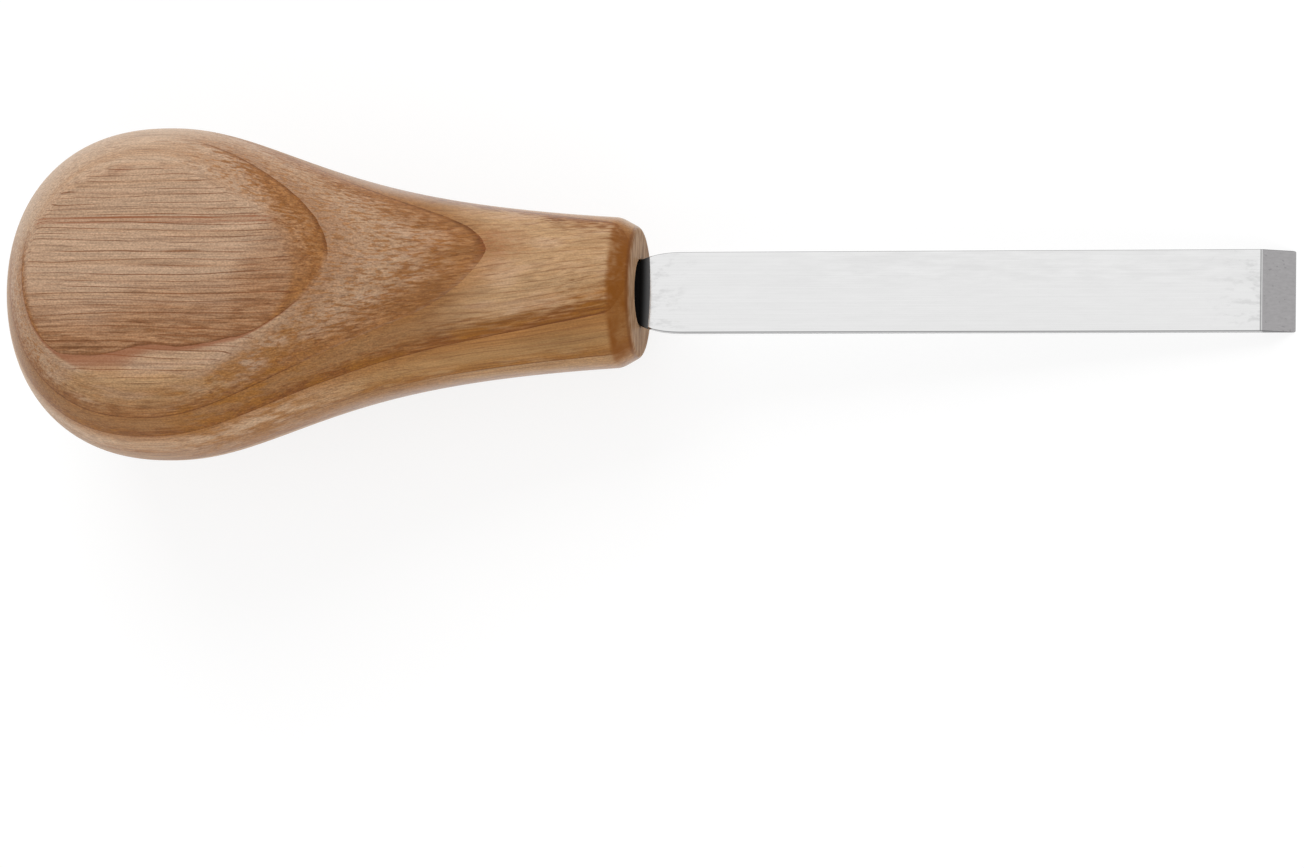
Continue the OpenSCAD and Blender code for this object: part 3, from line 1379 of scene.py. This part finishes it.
@dataclass
class Blade:
    """The steel blade with its shoulders, bevel and tang: one bar, lofted along the tool. Sizes in mm."""

    length: float = 80.5
    width: float = 10.0
    thickness: float = 1.7
    face_rise: float = 0.35
    shoulder_length: float = 5.7
    shoulder_power: float = 2.6
    bevel_angle: float = 22.0
    edge_thickness: float = 0.05
    arris_length: float = 0.35
    arris_angle: float = 8.0
    tang_length: float = 40.0
    tang_step: float = 0.1
    tang_width: float = 6.2
    tang_neck: float = 5.0
    tang_end_width: float = 3.0
    tang_point: float = 6.0
    root_width: float = 8.1
    edge_round: float = 0.1
    round_share: float = 0.45
    corner_round: float = 0.45
    corner_depth: float = 0.35
    support: float = 0.06
    hair: float = 0.01
    near: float = 0.04
    # Rings on the tang's point, the tang, its neck, the shoulders, the face, the bevel and the corners
    ring_counts: tuple[int, ...] = (5, 14, 12, 30, 60, 16, 7)
    arc_points: int = 5
    span_points: int = 9
    crease: float = 40.0

    @property
    def back(self) -> float:
        """Height of the blade's back."""
        return self.face_rise - self.thickness

    @property
    def arris_drop(self) -> float:
        """How far the narrow facet falls before the bevel starts."""
        return self.arris_length * math.tan(math.radians(self.arris_angle))

    @property
    def arris_x(self) -> float:
        """Where the bevel starts."""
        rise = self.thickness - self.arris_drop - self.edge_thickness
        return self.length - rise / math.tan(math.radians(self.bevel_angle))

    def half_width(self, x: np.ndarray) -> np.ndarray:
        """Half the width of the plan: a pointed tang, its neck, the shoulders, and small round corners.

        Args:
            x: Places along the axis, in mm.

        Returns:
            Half the width at each place.
        """
        full, root, tang = self.width / 2, self.root_width / 2, self.tang_width / 2
        rear = np.array([-self.tang_length, self.tang_point - self.tang_length, -self.tang_neck])
        bar = np.interp(x, rear, [self.tang_end_width / 4, self.tang_end_width / 2, tang])
        neck = tang + (root - tang) * np.clip(1 + x / self.tang_neck, 0, 1) ** 2
        shoulder = full - (full - root) * np.clip(1 - x / self.shoulder_length, 0, 1) ** self.shoulder_power
        over = np.clip(x - (self.length - self.corner_round), 0, self.corner_round)
        corner = self.corner_round - np.sqrt(self.corner_round**2 - over**2)
        plan = np.where(x < -self.tang_neck, bar, np.where(x < 0, neck, shoulder))
        return plan - corner * self.corner_depth

    def top(self, x: np.ndarray) -> np.ndarray:
        """Height of the upper face: flat, a narrow facet, then the bevel down to the cutting edge.

        Args:
            x: Places along the axis, in mm.

        Returns:
            The height at each place.
        """
        places = [self.arris_x - self.arris_length, self.arris_x, self.length]
        heights = [self.face_rise, self.face_rise - self.arris_drop, self.back + self.edge_thickness]
        return np.where(x < 0, self.face_rise - self.tang_step, np.interp(x, places, heights))

    def stations(self) -> np.ndarray:
        """Places along the axis for the rings, close together where the bar changes."""
        point, tang, neck, shoulders, face, bevel, corners = self.ring_counts
        tang_rear = self.tang_point - self.tang_length
        facet = self.arris_x - self.arris_length
        tip = self.length - self.corner_round
        return np.concatenate(
            [
                np.linspace(-self.tang_length, tang_rear, point),
                np.linspace(tang_rear, -self.tang_neck, tang)[1:],
                np.linspace(-self.tang_neck, -self.hair, neck)[1:],
                np.linspace(0, self.shoulder_length, shoulders),
                np.linspace(self.shoulder_length, facet - self.near, face)[1:],
                [facet, facet + self.near],
                [self.arris_x - self.near, self.arris_x, self.arris_x + self.near],
                np.linspace(self.arris_x + self.near, tip, bevel)[1:],
                self.length - self.corner_round * (1 - np.sin(np.linspace(0, np.pi / 2, corners)))[1:],
            ]
        )

    def rings(self) -> np.ndarray:
        """The cross-sections: rectangles with small round edges, and flat spans above and below.

        Inside the bore the edges are drawn in, so that they follow the bore's wall, and each span
        ends close to the round edges, so that its shading stays flat.

        Returns:
            Points in the tool's frame, in mm, with axes ring, place round the ring, and x y z.
        """
        x = self.stations()
        half, top = self.half_width(x), self.top(x)
        back = np.where(x < 0, self.back + self.tang_step, self.back)
        round_off = np.minimum(self.edge_round, self.round_share * (top - back))
        quarter = np.linspace(0, np.pi / 2, self.arc_points)
        spans = np.linspace(-1, 1, self.span_points)[1:-1]
        in_bore = np.sqrt(np.maximum((self.root_width / 2) ** 2 - np.maximum(top**2, back**2), 0))
        edge = np.where(x < 0, np.minimum(half, in_bore), half)

        def corner(y_sign: int, z_sign: int, start: float) -> tuple[np.ndarray, np.ndarray]:
            """One round corner of every section.

            Args:
                y_sign: Its side across the blade.
                z_sign: Its side up or down.
                start: The angle that its arc starts at, in radians.

            Returns:
                The corner's y and its z in each section.
            """
            middle = np.where(z_sign > 0, top - round_off, back + round_off)
            angle = start + quarter
            y = (y_sign * (edge - round_off))[:, None] + round_off[:, None] * np.cos(angle)
            z = middle[:, None] + round_off[:, None] * np.sin(angle)
            return y, z

        def span(z_sign: int) -> tuple[np.ndarray, np.ndarray]:
            """The flat stretch between two corners, which runs to -y above and to +y below.

            Args:
                z_sign: Its side up or down.

            Returns:
                The stretch's y and its z in each section.
            """
            reach = half - round_off - self.support
            height = top if z_sign > 0 else back
            y = -z_sign * reach[:, None] * spans / spans[-1]
            return y, np.repeat(height[:, None], spans.size, 1)

        parts = [
            corner(1, 1, 0),
            span(1),
            corner(-1, 1, np.pi / 2),
            corner(-1, -1, np.pi),
            span(-1),
            corner(1, -1, 1.5 * np.pi),
        ]
        y = np.concatenate([part[0] for part in parts], 1)
        z = np.concatenate([part[1] for part in parts], 1)
        return np.stack([np.repeat(x[:, None], y.shape[1], 1), y, z], -1)

    def build(self, pose: ToolPose, material: bpy.types.Material) -> bpy.types.Object:
        """Makes the piece.

        Args:
            pose: Where the tool's frame lies.
            material: Its finish.

        Returns:
            The finished piece.
        """
        piece = surface_object("steel_blade", self.rings(), pose, self.crease)
        piece.data.materials.append(material)
        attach(piece, Body.ROOT.value)
        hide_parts("blade")
        return piece


@dataclass
class Studio:
    """A plain pale floor, soft light from all sides with a gentle key light, and the camera."""

    image_width: int = 1304
    image_height: int = 868
    pixels_per_mm: float = 8.105
    camera_distance: float = 750.0
    pitch: float = 10.5
    lean: float = 9.0
    turn: float = 0.22
    aim_column: float = 640.8
    aim_row: float = 292.6
    sensor: float = 36.0
    sky: float = 0.56
    key_place: Triple = (-0.2, 0.75, 0.62)
    key_size: float = 0.7
    key_power: float = 5.5
    fill_place: Triple = (0.2, -0.75, 0.42)
    fill_size: float = 0.9
    fill_power: float = 2.7
    floor_half: float = 1.6
    floor_lit: Rgb = (0.86, 0.86, 0.86)
    floor_seen: Rgb = (0.24, 0.24, 0.24)
    floor_glow: float = 0.8
    clip: Fade = (0.05, 20.0)

    def camera(self, pose: ToolPose) -> bpy.types.Object:
        """Puts the camera where it sees the tool from above, a little from the front and from the side.

        Args:
            pose: Where the tool's frame lies.

        Returns:
            The camera.
        """
        pitch, lean, turn = (math.radians(angle) for angle in (self.pitch, self.lean, self.turn))
        level = Vector((math.sin(pitch), -math.sin(lean) * math.cos(pitch), math.cos(lean) * math.cos(pitch)))
        right = (Vector((1, 0, 0)) - level * level.x).normalized()
        up = level.cross(right)
        turned_right = right * math.cos(turn) - up * math.sin(turn)
        turned_up = right * math.sin(turn) + up * math.cos(turn)
        spin = Matrix((turned_right, turned_up, level)).transposed().to_4x4()
        data = bpy.data.cameras.new("view")
        data.sensor_width = self.sensor
        data.lens = self.sensor * self.camera_distance * self.pixels_per_mm / self.image_width
        data.shift_x = (self.image_width / 2 - self.aim_column) / self.image_width
        data.shift_y = (self.aim_row - self.image_height / 2) / self.image_width
        data.clip_start, data.clip_end = self.clip
        camera = bpy.data.objects.new("view", data)
        camera.matrix_world = pose.matrix() @ Matrix.Translation(level * self.camera_distance * MM) @ spin
        bpy.context.scene.collection.objects.link(camera)
        bpy.context.scene.camera = camera
        return camera

    def seen_white(self, tree: bpy.types.NodeTree) -> bpy.types.NodeSocket:
        """Is 1 for rays that show the background: from the camera, from gloss and through glass.

        Args:
            tree: The node tree that needs it.

        Returns:
            The share.
        """
        path = tree.nodes.new("ShaderNodeLightPath")
        total = path.outputs["Is Camera Ray"]
        for name in ("Is Glossy Ray", "Is Transmission Ray"):
            larger = tree.nodes.new("ShaderNodeMath")
            larger.operation = "MAXIMUM"
            tree.links.new(total, larger.inputs[0])
            tree.links.new(path.outputs[name], larger.inputs[1])
            total = larger.outputs[0]
        return total

    def surroundings(self) -> None:
        """Makes the world: an even sky for the light, and white where it is seen."""
        world = bpy.data.worlds.new("surroundings")
        bpy.context.scene.world = world
        world.use_nodes = True
        tree = world.node_tree
        tree.nodes.clear()
        output = tree.nodes.new("ShaderNodeOutputWorld")
        light, seen = tree.nodes.new("ShaderNodeBackground"), tree.nodes.new("ShaderNodeBackground")
        mixed = tree.nodes.new("ShaderNodeMixShader")
        light.inputs["Strength"].default_value = self.sky
        light.inputs["Color"].default_value = (1, 1, 1, 1)
        seen.inputs["Color"].default_value = (1, 1, 1, 1)
        tree.links.new(self.seen_white(tree), mixed.inputs[0])
        tree.links.new(light.outputs[0], mixed.inputs[1])
        tree.links.new(seen.outputs[0], mixed.inputs[2])
        tree.links.new(mixed.outputs[0], output.inputs[0])

    def floor(self) -> bpy.types.Object:
        """Makes the floor: pale, and brighter where it is seen, so that it is white with a faint shadow."""
        mesh = bpy.data.meshes.new("floor")
        half = self.floor_half
        corners = [(-half, -half, 0), (half, -half, 0), (half, half, 0), (-half, half, 0)]
        mesh.from_pydata(corners, [], [(0, 1, 2, 3)])
        floor = bpy.data.objects.new("floor", mesh)
        bpy.context.scene.collection.objects.link(floor)
        work = NodeWork("pale_floor")
        seen = Value(work, self.seen_white(work.tree))
        surface = {
            "Base Color": work.mix(seen, self.floor_lit, self.floor_seen),
            "Roughness": 1.0,
            "Specular IOR Level": 0.0,
            "Emission Color": (1.0, 1.0, 1.0),
            "Emission Strength": seen * self.floor_glow,
        }
        mesh.materials.append(work.finish(surface))
        return floor

    def lamp(self, name: str, place: Triple, size: float, power: float) -> None:
        """Adds a large soft lamp that points at the tool.

        Args:
            name: The lamp's name.
            place: Where it hangs, in metres.
            size: Length of its sides, in metres.
            power: Its power, in watts.
        """
        data = bpy.data.lights.new(name, "AREA")
        data.shape, data.size, data.energy = "SQUARE", size, power
        lamp = bpy.data.objects.new(name, data)
        lamp.location = place
        lamp.rotation_euler = (-Vector(place)).to_track_quat("-Z", "Y").to_euler()
        lamp.visible_glossy = False
        bpy.context.scene.collection.objects.link(lamp)

    def build(self, pose: ToolPose) -> None:
        """Makes the whole studio.

        Args:
            pose: Where the tool's frame lies.
        """
        self.camera(pose)
        self.surroundings()
        self.floor()
        self.lamp("key", self.key_place, self.key_size, self.key_power)
        self.lamp("fill", self.fill_place, self.fill_size, self.fill_power)
        bpy.context.scene.view_settings.view_transform = "Standard"


def main() -> None:
    """Builds the studio and the pieces in order."""
    logging.basicConfig(level=logging.INFO, format="%(name)s: %(message)s")
    handle, blade = Handle(), Blade()
    mounts = frame["record"]["mounts"]
    pose = ToolPose.from_record(mounts, handle.thickness / 2, handle.face_radius)
    origin = [round(value, 6) for value in pose.origin]
    log.info("tilt %.3f degrees, origin %s", math.degrees(pose.tilt), origin)
    Studio().build(pose)
    steel = SteelFinish(
        bevel_start=blade.arris_x,
        half_width=blade.width / 2,
        root_half=blade.root_width / 2,
        shoulder_length=blade.shoulder_length,
        shoulder_power=blade.shoulder_power,
    )
    for maker, finish in ((handle, AshFinish()), (blade, steel)):
        made = maker.build(pose, finish.build(pose))
        log.info("%s has %d faces", made.name, len(made.data.polygons))
    epoxy = frame["nodes"]["tang_epoxy"]
    epoxy.data.materials.clear()
    epoxy.data.materials.append(EpoxyFinish().build(pose))
    log.info("tang_epoxy keeps its solid's shape")


if __name__ == "__main__":
    main()
